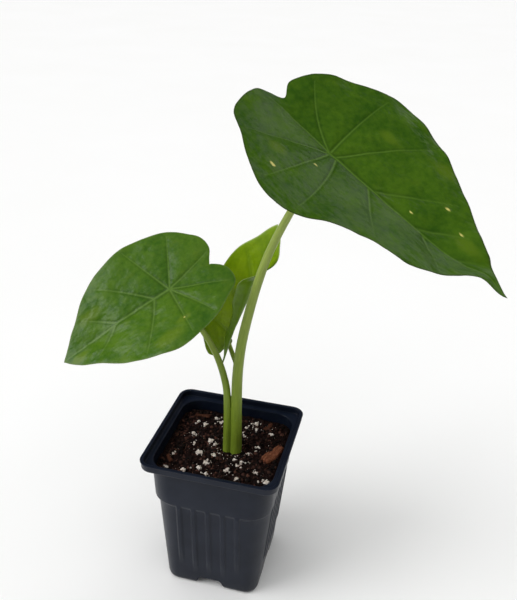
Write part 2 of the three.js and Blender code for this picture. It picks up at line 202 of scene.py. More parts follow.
class Finish:
    # A material: its Principled shader gets uniform values at once and varying ones by feed.
    def __init__(self, name, **uniform):
        self.material = bpy.data.materials.new(name)
        self.material.use_nodes = True
        self.tree = self.material.node_tree
        self.shader = self.tree.nodes["Principled BSDF"]
        for key, value in uniform.items():
            self.shader.inputs[key.replace("_", " ")].default_value = value

    def node(self, kind, settings, inputs, output=0):
        made = self.tree.nodes.new("ShaderNode" + kind)
        for key, value in settings.items():
            if key == "stops":
                while len(made.color_ramp.elements) < len(value):
                    made.color_ramp.elements.new(1)
                for element, (place, colour) in zip(made.color_ramp.elements, value):
                    element.position = place
                    element.color = (*colour, 1)
            else:
                setattr(made, key, value)
        for key, value in inputs.items():
            if isinstance(value, Wire):
                self.tree.links.new(value.socket, made.inputs[key])
            else:
                made.inputs[key].default_value = value
        return Wire(self, made.outputs[output])

    def place(self):
        return self.node("TexCoord", {}, {}, "Object")

    def value(self, name):
        return self.node("Attribute", {"attribute_name": name}, {}, "Fac")

    def vector(self, name):
        return self.node("Attribute", {"attribute_name": name}, {}, "Vector")

    def stretched(self, vector, scale):
        return self.node("Mapping", {}, {"Vector": vector, "Scale": scale})

    def cloud(self, vector, scale, detail=3, roughness=0.55):
        return self.node("TexNoise", {}, {
            "Vector": vector, "Scale": scale, "Detail": detail, "Roughness": roughness})

    def between(self, value, low, high):
        # 0 up to low, 1 from high, an S between.
        return self.node("MapRange", {"interpolation_type": "SMOOTHSTEP"}, {
            "Value": value, "From Min": low, "From Max": high})

    def blend(self, share, first, second):
        colours = {6: first, 7: second}
        for key, colour in colours.items():
            if not isinstance(colour, Wire):
                colours[key] = (*colour, 1)
        return self.node("Mix", {"data_type": "RGBA"}, {0: share, **colours}, 2)

    def shades(self, value, *stops):
        return self.node("ValToRGB", {"stops": stops}, {0: value})

    def relief(self, height, distance, under=None):
        inputs = {"Height": height, "Distance": distance, "Strength": 1}
        if under:
            inputs["Normal"] = under
        return self.node("Bump", {}, inputs)

    def feed(self, **wires):
        for key, wire in wires.items():
            self.tree.links.new(wire.socket, self.shader.inputs[key.replace("_", " ")])
        return self.material


# Pot

potShape = {
    "wall": 1.2,
    "rimRadius": 8.8,
    "lipHeight": 6.2,
    "lipThickness": 1.9,
    "flangeWidth": 5.2,
    "flangeThickness": 1.4,
    "beadHeight": 1.2,
    "beadDepth": 0.8,
    "bandRadius": 16,
    "bandDraft": 1.4,
    "ledgeRise": 3.5,
    "ledgeStep": 1,
    "bodyHeight": 81,
    "bodyRadius": 20,
    "bodyDraft": 7.5,
    "baseRadius": 9.5,
    "baseRound": 4.5,
    "baseCentre": 0.2,     # the flat row of points nearest the middle, as a share of the base
    "floorLean": 0.9,      # how much wider the walls stand at the floor than at the base
    "footGap": 21,
    "footHeight": 8.5,
    "footSlope": 2.2,      # how much narrower the gap is at its top, each side
    "footFlare": 3.4,      # how much wider it is at the base
    "footRound": 2.6,
    "ribsPerFace": 5,
    "ribPitch": 11,
    "ribHalf": 2.5,
    "ribSlope": 1.4,       # width of a rib's rounded side
    "ribHeight": 1,
    "ribLowest": 21,
    "ribRise": 1.8,        # outer ribs end higher, by this times the square of their place
    "ribbedHalf": 27,      # the stretch of a face where columns of points run straight up
    "ribbedColumns": 64,
    "cornerColumns": 16,
    "closeRows": 0.9,      # steps between rows: where the ribs end, elsewhere outside, inside
    "outerRows": 7,
    "innerRows": 12,
    "sharpAngle": 38,
    "holes": [(0, 0, 5), (20, 0, 3.6), (0, 20, 3.6), (-20, 0, 3.6), (0, -20, 3.6)],
}


def wallHalves(size):
    # Half widths of the pot's outside: the band's top, the ledge, the walls' top and their foot.
    band = rimHalf - size["flangeWidth"]
    ledge = band - size["bandDraft"]
    body = ledge - size["ledgeStep"]
    return band, ledge, body, body - size["bodyDraft"]


def squareRows(profile, straight, corner):
    # Rows of points round rounded squares, each [half width, corner radius, height], and their
    # outward directions. A face has a column at each straight place, at the same x in each row,
    # then columns spread evenly along the rest of the way to the middle of the corner.
    half, radius, height = (column[:, None] for column in np.asarray(profile, float).T)
    flat = half - radius
    places = straight * np.minimum(1, half / (straight[-1] * 1.15))
    beyond = np.maximum(places - flat, 0)
    places = np.where(beyond > 0, flat + radius * np.arcsin(np.minimum(beyond / radius, 1)), places)
    whole = flat + radius * math.pi / 4
    rest = places[:, -1:] + (whole - places[:, -1:]) * corner
    along = np.concatenate([places, rest], axis=1)
    along = np.concatenate([-along[:, :0:-1][:, 1:], along], axis=1)
    turn = np.sign(along) * np.maximum(np.abs(along) - flat, 0) / radius
    x = np.where(turn == 0, along, np.sign(along) * flat + radius * np.sin(turn))
    y = -half + radius * (1 - np.cos(turn))
    z = np.broadcast_to(height, x.shape)
    points, outward = [], []
    for face in range(4):
        c, s = round(math.cos(face * math.pi / 2)), round(math.sin(face * math.pi / 2))
        points.append(np.stack([c * x - s * y, s * x + c * y, z], axis=-1))
        nx, ny = np.sin(turn), -np.cos(turn)
        outward.append(np.stack([c * nx - s * ny, s * nx + c * ny, 0 * z], axis=-1))
    places = np.concatenate([x] * 4, axis=1)
    return np.concatenate(points, axis=1), np.concatenate(outward, axis=1), places


def rounded(profile, steps=4):
    # A profile of [half, radius, z, rounding], with each corner rounded by a small arc.
    profile = np.asarray(profile, float)
    made = [profile[:1, :3]]
    share = np.linspace(0, 1, steps + 1)[:, None]
    for before, here, after in zip(profile[:-2], profile[1:-1], profile[2:]):
        if here[3] == 0:
            made.append(here[None, :3])
            continue
        ends = []
        for other in (before, after):
            away = other[:3] - here[:3]
            length = math.hypot(away[0], away[2])
            ends.append(here[:3] + away * min(here[3] / length, 0.49))
        pull = here[:3] * 2 * share * (1 - share)
        made.append(ends[0] * (1 - share) ** 2 + pull + ends[1] * share ** 2)
    made.append(profile[-1:, :3])
    return np.concatenate(made)


def filled(profile, longest):
    # The same profile with extra rows where two rows lie further apart than longest.
    made = []
    for here, after in zip(profile[:-1], profile[1:]):
        away = math.hypot(after[0] - here[0], after[2] - here[2])
        count = max(1, math.ceil(away / longest(0.5 * (here[2] + after[2]))))
        made.append(here + (after - here) * np.arange(count)[:, None] / count)
    return np.concatenate(made + [profile[-1:]])


def cutFrom(piece, cutters):
    # Takes the cutters out of the piece's mesh for good.
    for cutter in cutters:
        modifier = piece.modifiers.new("cut", "BOOLEAN")
        modifier.operation = "DIFFERENCE"
        modifier.solver = "EXACT"
        modifier.object = cutter
    ready = piece.evaluated_get(bpy.context.evaluated_depsgraph_get())
    piece.data = bpy.data.meshes.new_from_object(ready)
    piece.modifiers.clear()
    for cutter in cutters:
        bpy.data.objects.remove(cutter)


def footCutter(size, turn):
    # The gap under the base: a long bar whose section is narrower at its top, with round corners.
    # The turned bar is moved a hair along, so that no two edges of the bars fall together.
    top, low = size["footHeight"], size["footGap"] / 2
    high, corner = low - size["footSlope"], size["footRound"]
    section = rounded([
        [low + 9, 0, -4, 0], [low + size["footFlare"], 0, -0.4, 1], [low, 0, 3, corner],
        [high, 0, top, corner], [0, 0, top, 0]], 6)[:, [0, 2]]
    section = np.concatenate([section, section[-2::-1] * [-1, 1]])
    ends = np.array([-rimHalf, rimHalf])
    hair = 0.03 if turn else 0
    bar = np.zeros((2, len(section), 3))
    bar[..., 0] = ends[:, None] + hair
    bar[..., 1], bar[..., 2] = section[None, :, 0], section[None, :, 1]
    if turn:
        bar = bar[..., [1, 0, 2]]
    points, faces = skin(bar)
    return addMesh("footCutter", points, faces)


def holeCutter(x, y, radius):
    # A short upright cylinder through the floor.
    angle = np.linspace(0, 2 * math.pi, 40, endpoint=False)
    ring = np.stack([x + radius * np.cos(angle), y + radius * np.sin(angle)], axis=-1)
    grid = np.stack([np.insert(ring, 2, z, axis=1) for z in (2.0, 20.0)])
    points, faces = skin(grid)
    return addMesh("holeCutter", points, faces)


def makePot(size):
    # A stack of rounded squares up the outside, over the rim and down the inside, with ribs
    # raised from the walls, then the foot gaps and the drain holes cut out.
    bandHalf, ledgeHalf, bodyHalf, baseHalf = wallHalves(size)
    bodyTop = size["bodyHeight"]
    ledgeTop = bodyTop + size["ledgeRise"]
    under = potHeight - size["lipHeight"]
    shelf = under + size["flangeThickness"]
    lip = rimHalf - size["beadDepth"]
    inside = lip - size["lipThickness"]
    bead = potHeight - size["beadHeight"]
    rimRadius = size["rimRadius"]
    wall = size["wall"]
    floor = size["footHeight"] + wall
    centre = size["baseCentre"]
    outer = rounded([
        [baseHalf * centre, size["baseRadius"] * centre, 0, 0],
        [baseHalf, size["baseRadius"], 0, size["baseRound"]],
        [bodyHalf, size["bodyRadius"], bodyTop, 0.8],
        [ledgeHalf, size["bandRadius"], ledgeTop - 1.2, 0.9],
        [bandHalf, size["bandRadius"], under, 0.9],
        [lip, rimRadius, under, 0.9],
        [lip, rimRadius, bead, 0.3],
        [rimHalf, rimRadius + size["beadDepth"], bead + 0.2, 0.4],
        [rimHalf, rimRadius + size["beadDepth"], potHeight, 0.7],
        [inside, rimRadius - size["lipThickness"], potHeight, 0.8],
        [inside, rimRadius - size["lipThickness"], shelf, 0.9],
        [bandHalf - wall, size["bandRadius"] - wall, shelf, 0.9],
        [ledgeHalf - wall, size["bandRadius"] - wall, ledgeTop, 0.9],
        [bodyHalf - wall, size["bodyRadius"] - wall, bodyTop + 0.6, 0.6],
        [baseHalf - wall + size["floorLean"], size["baseRadius"] - wall, floor, 1],
        [baseHalf * centre, size["baseRadius"] * centre, floor, 0],
    ])
    ribEnds = (size["ribLowest"] - 2, size["ribLowest"] + 12)
    edge = int(np.argmax(outer[:, 2]))
    close, apart = size["closeRows"], size["outerRows"]
    rows = np.concatenate([
        filled(outer[:edge + 1], lambda z: close if ribEnds[0] < z < ribEnds[1] else apart),
        filled(outer[edge:], lambda z: size["innerRows"])[1:],
    ])
    outside = np.arange(len(rows)) < np.argmax(rows[:, 2])
    centres = (np.arange(size["ribsPerFace"]) - (size["ribsPerFace"] - 1) / 2) * size["ribPitch"]
    straight = np.linspace(0, size["ribbedHalf"], size["ribbedColumns"])
    corner = np.linspace(0, 1, size["cornerColumns"] + 1)[1:]
    points, outward, places = squareRows(rows, straight, corner)
    height = np.zeros(places.shape)
    for place, centre in enumerate(centres):
        bottom = size["ribLowest"] + size["ribRise"] * (place - len(centres) // 2) ** 2
        above = np.minimum(points[..., 2] - bottom - size["ribHalf"], 0)
        away = np.hypot(places - centre, above)
        height = np.maximum(height, easeIn((size["ribHalf"] - away) / size["ribSlope"]))
    share = np.clip((rows[:, 0] - bodyHalf) / size["ledgeStep"], 0, 1)
    ribbed = (outside & (rows[:, 2] < ledgeTop)) * (1 - share) * size["ribHeight"]
    points = points + outward * (height * ribbed[:, None])[..., None]
    pot = addMesh("nurseryPot", *skin(points))
    cutters = [footCutter(size, False), footCutter(size, True)]
    cutters += [holeCutter(*hole) for hole in size["holes"]]
    cutFrom(pot, cutters)
    pot.data.set_sharp_from_angle(angle=math.radians(size["sharpAngle"]))
    return pot


def potPlastic():
    # Charcoal moulded plastic: faint mottling, fine satin grain and a few dusty scuffs.
    finish = Finish("potPlastic", Specular_IOR_Level=0.2)
    place = finish.place()
    mottle = finish.cloud(place, 60, 4)
    dust = finish.between(finish.cloud(place, 210, 6, 0.7), 0.6, 0.85)
    tint = finish.shades(mottle, (0.3, (0.004, 0.007, 0.016)), (0.7, (0.009, 0.013, 0.025)))
    colour = finish.blend(dust * 0.1, tint, (0.08, 0.075, 0.07))
    rough = finish.cloud(place, 95, 5) * 0.12 + dust * 0.1 + 0.3
    grain = finish.relief(finish.cloud(place, 2600, 2), 0.00005)
    return finish.feed(Base_Color=colour, Roughness=rough, Normal=grain)


# Potting mix

mixShape = {
    "innerGap": 1.5,       # from the pot's outside to the mix
    "bottom": 10.2,
    "lumps": [(13, 1.3), (6, 1.0), (2.9, 0.8), (1.5, 0.45)],   # size and height of each layer
    "topRows": 105,
    "flatHalf": 26,
    "flatColumns": 50,
    "cornerColumns": 30,
    "room": 3,             # from the outside of the pot's ledge to the loose pieces
    "looseCorner": 12,
    "crowdMiddle": (4, -4),
    "crowdSpread": 0.33,   # of the way to the wall
    "crumbs": 2600,
    "crumbSize": (0.4, 2.1),
    "crumbRoughness": 0.3,
    "whiteCrumbs": 260,
    "whiteSize": (0.2, 0.65),
    "clusterSize": (0.35, 1.0),
    "clusterSpread": 1.9,
    "clusterLift": 0.3,
    "perCluster": 6,
    "fibres": 220,
    "fibreLength": (2.5, 8),
    "fibreBend": 0.22,
    "fibreWidth": (0.08, 0.2),
    "fibreLift": 0.25,
    "fibreCurl": 1.1,      # how far its ends may stand up
}


def mixHeight(points):
    # How high the mix lies above its level at each place: layers of lumps with sharp crests.
    level = np.concatenate([points[..., :2], 0 * points[..., :1]], axis=-1)
    height = np.zeros(points.shape[:-1])
    for turn, (size, rise) in enumerate(mixShape["lumps"]):
        height += rise * (0.5 - np.abs(noise(level, size, turn + 3)) * 1.3)
    return height


def makeMix(shape, potSize):
    # Rounded squares from the middle of the top out to the wall, down it and back under.
    gap = shape["innerGap"]
    _, ledgeHalf, bodyHalf, baseHalf = wallHalves(potSize)
    ledgeTop = potSize["bodyHeight"] + potSize["ledgeRise"]
    rise = (mixTop - ledgeTop) / (potHeight - ledgeTop)
    edge = ledgeHalf + potSize["bandDraft"] * rise - gap
    inner = potSize["bandRadius"] - gap
    shares = np.linspace(0.004, 1, shape["topRows"])
    top = [[edge * share, inner * share, mixTop] for share in shares]
    side = [
        [ledgeHalf - gap, inner, ledgeTop],
        [bodyHalf - gap, potSize["bodyRadius"] - gap, potSize["bodyHeight"]],
        [baseHalf - gap + 1, potSize["baseRadius"] - gap, shape["bottom"] + 0.5],
        [(baseHalf - gap) * 0.5, 4, shape["bottom"]],
        [(baseHalf - gap) * 0.02, 0.1, shape["bottom"]],
    ]
    straight = np.linspace(0, shape["flatHalf"], shape["flatColumns"])
    corner = np.linspace(0, 1, shape["cornerColumns"] + 1)[1:]
    points, _, _ = squareRows(top + side, straight, corner)
    onTop = np.arange(len(points)) < len(top)
    points[..., 2] += mixHeight(points) * onTop[:, None]
    return addMesh("pottingMix", *skin(points))


def makeLumps(name, places, sizes, flat, tones, rows=3, columns=6):
    # Many small closed lumps in one mesh, each a rough ball with its own random turn.
    count = len(places)
    polar = np.linspace(0, math.pi, rows + 2)[1:-1]
    angle = np.linspace(0, 2 * math.pi, columns, endpoint=False)
    ball = np.stack([
        np.sin(polar)[:, None] * np.cos(angle), np.sin(polar)[:, None] * np.sin(angle),
        np.cos(polar)[:, None] * np.ones(columns)], axis=-1)
    points, faces = skin(ball)
    poles = np.array([[0, 0, 1], [0, 0, -1]])
    points = np.concatenate([points[:-2], poles])
    rough = 1 + mixShape["crumbRoughness"] * random.uniform(-1, 1, (count, len(points), 1))
    stretch = np.stack([np.ones(count), random.uniform(0.5, 1, count), flat], axis=-1)
    shaped = points * rough * stretch[:, None] * sizes[:, None, None]
    first = unit(random.normal(size=(count, 3)) * [1, 1, 0.5])
    third = unit(np.cross(first, unit(random.normal(size=(count, 3)) + [0, 0, 2])))
    second = np.cross(third, first)
    turned = (shaped[..., :1] * first[:, None] + shaped[..., 1:2] * third[:, None]
              + shaped[..., 2:] * second[:, None])
    made = (turned + places[:, None]).reshape(-1, 3)
    steps = np.arange(count)[:, None, None] * len(points)
    groups = [(group[None] + steps).reshape(-1, group.shape[1]) for group in faces]
    return addMesh(name, made, groups, {"tone": np.repeat(tones, len(points))})


def drawn(count, limits, power):
    # Random sizes between two limits; the higher the power, the more of them are small.
    low, high = limits
    return low + (high - low) * random.uniform(size=count) ** power


def scattered(count, edge, crowd):
    # Random places on the mix; crowd of them, as a share, gather round the stalks.
    spread = random.uniform(-edge, edge, (count, 2))
    near = random.normal(scale=edge * mixShape["crowdSpread"], size=(count, 2))
    near = near + mixShape["crowdMiddle"]
    places = np.where(random.uniform(size=(count, 1)) < crowd, near, spread)
    places = np.clip(places, -edge, edge)
    radius = mixShape["looseCorner"]
    corner = np.maximum(np.abs(places) - (edge - radius), 0)
    reach = np.linalg.norm(corner, axis=1, keepdims=True)
    over = np.maximum(reach / radius, 1)
    places = np.sign(places) * (np.abs(places) - corner * (1 - 1 / over))
    level = np.concatenate([places, np.zeros((count, 1))], axis=1)
    level[:, 2] = mixTop + mixHeight(level)
    return level


def makeFibres(shape, edge):
    # Short bent strands lying on the mix, three-sided and thinning to their ends.
    count, bending = shape["fibres"], shape["fibreBend"]
    middle = scattered(count, edge - 2, 0.2)
    length = random.uniform(*shape["fibreLength"], count)
    heading = random.uniform(0, 2 * math.pi, count)
    bend = random.uniform(-bending, bending, count)
    share = np.linspace(-1, 1, 8)
    turn = heading[:, None] + bend[:, None] * share * 4
    step = np.stack([np.cos(turn), np.sin(turn), 0 * turn], axis=-1) * (length / 8)[:, None, None]
    path = middle[:, None] + np.cumsum(step, axis=1) - step.sum(axis=1, keepdims=True) / 2
    curl = random.uniform(0, shape["fibreCurl"], (count, 1)) * share ** 2
    path[..., 2] = mixTop + mixHeight(path) + shape["fibreLift"] + curl
    angle = np.arange(3) * 2 * math.pi / 3
    width = random.uniform(*shape["fibreWidth"], (count, 1)) * (1 - 0.7 * share ** 2)
    across = np.stack([-np.sin(turn), np.cos(turn), 0 * turn], axis=-1)
    rings = path[:, :, None] + width[..., None, None] * (
        np.cos(angle)[:, None] * across[:, :, None] + np.sin(angle)[:, None] * np.array([0, 0, 1]))
    tubes = [skin(ring)[0] for ring in rings]
    faces = skinFaces(len(share), 3)
    steps = np.arange(count)[:, None, None] * len(tubes[0])
    groups = [(group[None] + steps).reshape(-1, group.shape[1]) for group in faces]
    tones = np.repeat(random.uniform(0.3, 1, count), len(tubes[0]))
    return addMesh("mixFibres", np.concatenate(tubes), groups, {"tone": tones})


def mixEarth():
    # Damp peat and bark: near black, with red-brown crumbs and a broken, crumbly surface.
    finish = Finish("mixEarth", Specular_IOR_Level=0.12)
    place = finish.place()
    crumb = finish.cloud(place, 900, 5, 0.7)
    patch = finish.cloud(place, 160, 3)
    colour = finish.shades(crumb, (0.38, (0.002, 0.001, 0.001)), (0.56, (0.012, 0.005, 0.004)),
                           (0.72, (0.05, 0.02, 0.014)))
    colour = finish.blend(finish.between(patch, 0.5, 0.75) * 0.5, colour, (0.012, 0.007, 0.006))
    height = crumb + 0.6 * finish.cloud(place, 2300, 3)
    rough = finish.cloud(place, 500, 2) * 0.3 + 0.6
    return finish.feed(Base_Color=colour, Roughness=rough, Normal=finish.relief(height, 0.0009))


def crumbEarth():
    # The loose crumbs and fibres: each has its own tone, from black peat to red-brown bark.
    finish = Finish("crumbEarth", Specular_IOR_Level=0.2)
    place = finish.place()
    speck = finish.cloud(place, 1500, 4, 0.7)
    tone = finish.value("tone") + speck * 0.3 - 0.15
    colour = finish.shades(tone, (0.0, (0.002, 0.001, 0.001)), (0.45, (0.011, 0.005, 0.004)),
                           (0.78, (0.07, 0.028, 0.02)), (1.0, (0.21, 0.1, 0.065)))
    return finish.feed(Base_Color=colour, Roughness=speck * 0.3 + 0.6,
                       Normal=finish.relief(speck, 0.0004))


def perliteChalk():
    # Expanded volcanic glass: chalky off-white, pitted with pores and stained by the mix.
    finish = Finish("perliteChalk")
    place = finish.place()
    pores = finish.node("TexVoronoi", {}, {"Vector": place, "Scale": 1700})
    stain = finish.cloud(place, 420, 4, 0.65)
    colour = finish.shades(stain, (0.28, (0.28, 0.2, 0.15)), (0.42, (0.62, 0.53, 0.46)),
                           (0.62, (0.8, 0.74, 0.68)))
    colour = finish.blend(finish.between(pores, 0.0, 0.32), (0.42, 0.34, 0.28), colour)
    height = finish.between(pores, 0.0, 0.5) + 0.5 * stain
    return finish.feed(Base_Color=colour, Roughness=stain * 0.2 + 0.75,
                       Normal=finish.relief(height, 0.0003))


grainShape = {
    "count": 32,
    "scale": 0.86,         # of a grain's own box
    "rows": 18, "columns": 30,
    "body": 0.9,
    "swell": (2.6, 0.42),  # size and height of the large bumps, the small ones and the pits
    "knobs": (1.2, 0.3),
    "pits": (0.7, 0.16),
    "lift": 0.25,          # of half its height
}


def makeGrain(shape, index):
    # A perlite grain in its CAD box: a ball pushed out by two layers of bumps and in by pits.
    low, high = nodeBox(f"perlite_{index}")
    middle, half = (low + high) / 2 - potBase, (high - low) / 2
    polar = np.linspace(0, math.pi, shape["rows"] + 2)[1:-1, None]
    angle = np.linspace(0, 2 * math.pi, shape["columns"], endpoint=False)
    ball = np.stack([np.sin(polar) * np.cos(angle), np.sin(polar) * np.sin(angle),
                     np.cos(polar) * np.ones(len(angle))], axis=-1)
    shift = ball * 3 + index * 7.7
    (wide, swell), (small, knob), (fine, pit) = shape["swell"], shape["knobs"], shape["pits"]
    reach = shape["body"] + swell * noise(shift, wide) + knob * noise(shift, small, 1)
    reach = reach - pit * np.abs(noise(shift, fine, 2))
    grid = ball * reach[..., None] * half * shape["scale"] + middle
    grid[..., 2] += mixTop + mixHeight(middle[None])[0] - middle[2] + half[2] * shape["lift"]
    return addMesh(f"perliteGrain{index}", *skin(grid))


barkShape = {
    "count": 4,
    "firstTurn": 1.15, "nextTurn": 2.1, "sink": 0.35, "oldTone": 0.3,
    "rows": 24, "columns": 90,
    "length": 1.03, "thickness": 1.25,   # of half the CAD box
    "width": 0.34,                       # of its length
    "squareness": 0.45, "edgeSquareness": 0.35,
    "raggedEnds": 0.08, "waist": 0.14, "taper": 0.1,
    "notch": 0.45, "notchPlace": 0.1, "notchReach": 0.22,
    "ridges": 0.35, "furrows": 0.3,
    "bow": 0.09, "tilt": 0.12,
}


def makeBark(shape, index):
    # A torn chip in its CAD box: a blunt slab with a waist, a notch in one side, ridges along
    # its grain and ragged ends, bowed and lying a little tilted.
    low, high = nodeBox(f"bark_chip_{index}")
    middle = (low + high) / 2 - potBase
    turn = shape["firstTurn"] + (index - 1) * shape["nextTurn"]
    half = (high - low) / 2
    long = max(half[0], half[1]) * shape["length"]
    wide = long * shape["width"]
    rows = np.linspace(0, math.pi, shape["rows"] + 2)[1:-1, None]
    angle = np.linspace(0, 2 * math.pi, shape["columns"], endpoint=False)
    flat = np.sign(np.cos(angle)) * np.abs(np.cos(angle)) ** shape["squareness"]
    side = np.sign(np.sin(angle)) * np.abs(np.sin(angle)) ** shape["squareness"]
    reach = np.sin(rows) ** shape["edgeSquareness"]
    along = long * reach * flat * (1 + shape["raggedEnds"] * np.sin(side * 9 + index))
    waist = 1 + shape["waist"] * np.sin(flat * 2.4 + index * 2) - shape["taper"] * flat
    notch = np.exp(-((along / long - shape["notchPlace"]) / shape["notchReach"]) ** 2)
    across = wide * reach * side * waist - wide * shape["notch"] * notch * (side > 0.2) * reach
    up = half[2] * shape["thickness"] * np.cos(rows) * np.ones(len(angle))
    grid = np.stack([along, across, up], axis=-1)
    grain = noise(grid * [0.22, 1, 0.6], 0.75, index) * shape["ridges"]
    grain = grain + noise(grid * [0.5, 1, 1], 1.6, index) * shape["furrows"]
    grid[..., 2] += grain
    grid[..., 1] += grain * 0.5
    grid[..., 2] += shape["bow"] * along ** 2 / long
    c, s = math.cos(turn), math.sin(turn)
    rotated = np.stack([c * grid[..., 0] - s * grid[..., 1], s * grid[..., 0] + c * grid[..., 1],
                        grid[..., 2] + shape["tilt"] * grid[..., 1]], axis=-1)
    points, faces = skin(rotated + middle - [0, 0, shape["sink"]])
    local, _ = skin(grid)
    fresh = np.full(len(points), 1 if index == 1 else shape["oldTone"])
    return addMesh(f"barkChip{index}", points, faces, {"grain": local, "fresh": fresh})


def barkWood():
    # Red-brown bark: streaks and splits along the grain, darker in the furrows.
    finish = Finish("barkWood", Specular_IOR_Level=0.2)
    grain = finish.vector("grain")
    streak = finish.cloud(finish.stretched(grain, (0.25, 1.6, 1.6)), 1.1, 5, 0.65)
    fine = finish.cloud(finish.stretched(grain, (0.5, 4, 4)), 1.7, 4, 0.7)
    colour = finish.shades(streak, (0.3, (0.045, 0.013, 0.006)), (0.5, (0.16, 0.05, 0.024)),
                           (0.7, (0.29, 0.115, 0.06)))
    colour = finish.blend(finish.between(fine, 0.55, 0.75) * 0.5, colour, (0.36, 0.17, 0.1))
    colour = finish.blend(finish.value("fresh"), (0.014, 0.006, 0.004), colour)
    height = streak + 0.5 * fine
    return finish.feed(Base_Color=colour, Roughness=fine * 0.2 + 0.7,
                       Normal=finish.relief(height, 0.0006))


# Leaves

leafShape = {
    "thickness": 0.55,
    "crease": 9,           # width over which the fold turns, each side of the midrib
    "softness": 8,         # how far from the midrib the fold stays rounded
    "swayPlace": 0.88, "swayReach": 0.08,   # shares of the length
    "columns": 680, "above": 108, "beneath": 32,
    "gather": 0.5, "gatherReach": 0.6,      # how columns crowd towards the tip
    "veinStep": 0.014, "veinStop": 0.93,    # shares of the length and of the outline
    "midribWidth": 0.95, "veinWidth": 0.72, "thinning": 0.45,
    "sideStrength": 0.85, "fading": 0.7,
    "furrowSpread": 2.4,   # of a vein's width
    "furrowDepth": 0.42, "lineHeight": 0.1, "ridgeHeight": 0.75,
    "swellReach": 8,
    "waves": (30, 0.6), "marginWaves": (14, 0.8),          # size and height
    "crinkles": [(10, 0.32, 3), (4.5, 0.13, 2), (2.2, 0.05, 4)],   # size, height and turn
    "spotLength": 2.1,     # of its width
}
outlineAngles = [0, 1, 3, 8, 18, 35, 55, 75, 95, 115, 135, 150, 163, 172, 180]

# A leaf: where the blade joins its stalk, how it faces, its length from there to the tip, its
# bends, and its outline as shares of that length at angles from the tip, right then left.
# Cup is the curl across the blade, [share of the length, right, left].
# Veins are [start along the midrib, angle from the tip, bend, side], side 1 to the right.
# Quilt is the swelling between veins and ripple the waves; turn picks their random values.
# Flecks and patches are [along, across, size], the first two as shares of the length.
largeLeaf = {
    "joint": (59.5, 6.4, 337.5),
    "heading": -0.447, "dip": 0.5, "roll": -0.125,
    "length": 136, "droop": -0.17, "lobeDroop": -0.26, "sway": -5.5,
    "fold": 0.3,
    "cup": [(-1, -0.29, -0.29), (1, -0.29, -0.29)],
    "right": [1, 0.965, 0.865, 0.81, 0.745, 0.58, 0.565, 0.61, 0.535, 0.475, 0.485, 0.47, 0.46, 0.45, 0.41],
    "left": [1, 0.965, 0.885, 0.83, 0.73, 0.62, 0.564, 0.543, 0.53, 0.493, 0.488, 0.47, 0.44, 0.365, 0.41],
    "veins": [(0, 184, -0.5, 1), (0, 155, -0.5, -1), (0, 103, -0.25, -1), (0.03, 68, -0.35, -1),
              (0, 84, 0.15, 1), (0.04, 62, 0.4, 1), (0.27, 48, -0.4, -1), (0.24, 52, -0.1, 1),
              (0, 128, -0.3, 1), (0.52, 42, -0.35, -1), (0.56, 40, -0.2, 1), (0.74, 34, -0.3, -1)],
    "quilt": 0.7, "ripple": 1.7, "turn": 2,
    "flecks": [(-0.015, 0.421, 2.4), (0.048, 0.178, 2), (0.449, -0.055, 1.4), (0.538, -0.206, 2.2),
               (0.67, -0.142, 1.8)],
    "patches": [(0.4, -0.38, 16), (0.1, -0.3, 12), (0.72, -0.1, 12), (-0.1, 0.3, 14)],
}
leftLeaf = {
    "joint": (-35.7, -15.6, 242),
    "heading": 3.763, "dip": 0.474, "roll": 0.479,
    "length": 85, "droop": 0.2, "lobeDroop": 0, "sway": 0,
    "fold": 0.234,
    "cup": [(-1, -0.175, -0.175), (1, -0.175, -0.175)],
    "right": [1, 0.985, 0.95, 0.88, 0.78, 0.69, 0.6, 0.55, 0.505, 0.5, 0.49, 0.495, 0.46, 0.4, 0.365],
    "left": [1, 0.985, 0.96, 0.89, 0.77, 0.67, 0.59, 0.56, 0.51, 0.5, 0.505, 0.535, 0.5, 0.45, 0.38],
    "veins": [(0, 71, 0, 1), (0.14, 50, -0.25, 1), (0, 116, 0, 1), (0, 166, -0.1, 1),
              (0, 153, -0.1, -1), (0, 88, 0, -1), (0.14, 66, -0.35, -1), (0, 120, -0.2, -1),
              (0.48, 44, -0.3, 1), (0.5, 42, -0.3, -1)],
    "quilt": 0.6, "ripple": 1.3, "turn": 7,
    "flecks": [(0.017, -0.32, 0.9)],
    "patches": [(0.66, 0.2, 12), (0.87, -0.07, 10), (0.2, -0.4, 14), (0.03, -0.33, 6)],
}
youngLeaf = {
    "joint": (-0.9, 13.5, 194),
    "heading": 0.364, "dip": -1.236, "roll": -0.65,
    "length": 94, "droop": 0, "lobeDroop": 0, "sway": 0,
    "fold": 0.3,
    "cup": [(-1, 7, 7), (-0.15, 12, 6.5), (0.135, 36, 1.5), (0.29, 21, 0.6), (0.42, 15.7, 0.6),
            (0.52, 11.3, 0.6), (0.655, 5.9, 0.6), (0.78, 2.2, 0.5), (0.9, 1, 0.4), (1, 1, 0.3)],
    "right": [1, 0.99, 0.97, 0.89, 0.76, 0.21, 0.13, 0.1, 0.09, 0.1, 0.13, 0.19, 0.23, 0.19, 0.02],
    "left": [1, 0.985, 0.95, 0.85, 0.73, 0.5, 0.34, 0.27, 0.23, 0.21, 0.21, 0.21, 0.17, 0.07, 0.02],
    "veins": [(0.05, 80, -0.8, -1), (0.25, 50, -0.5, -1), (0.5, 40, -0.4, -1), (0, 165, -0.3, -1)],
    "quilt": 0.3, "ripple": 0.5, "turn": 11,
    "flecks": [],
    "patches": [(0.2, -0.1, 14), (0.6, -0.15, 10)],
}


